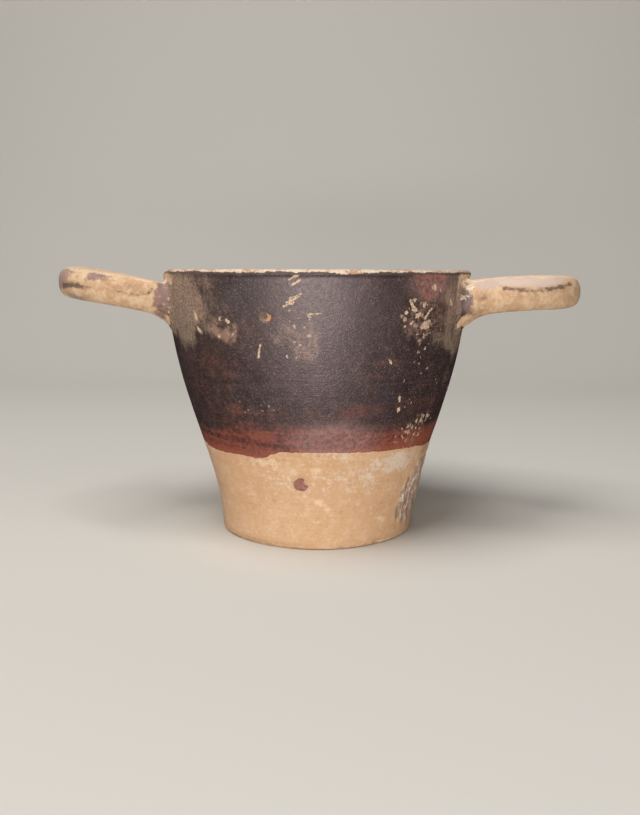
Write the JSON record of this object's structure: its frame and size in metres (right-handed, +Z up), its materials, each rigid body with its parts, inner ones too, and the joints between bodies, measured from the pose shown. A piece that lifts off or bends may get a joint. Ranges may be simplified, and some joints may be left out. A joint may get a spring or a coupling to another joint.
{
  "type": "skyphos",
  "caption": "Deep drinking cup with a curved, tapering wall, a flat underside and a horizontal loop handle on each side just below the lip.",
  "frame": {"origin": "middle of the flat underside, on the turning axis", "axes": "+X through the right handle, +Z up through the mouth, -Y towards the front"},
  "size_m": [0.2048, 0.1206, 0.1042],
  "materials": {
    "fired_clay": "bare buff fired clay below and on the handles, worn dark slip above"
  },
  "bodies": {
    "root": {"skyphos": "fired_clay"}
  },
  "joints": []
}
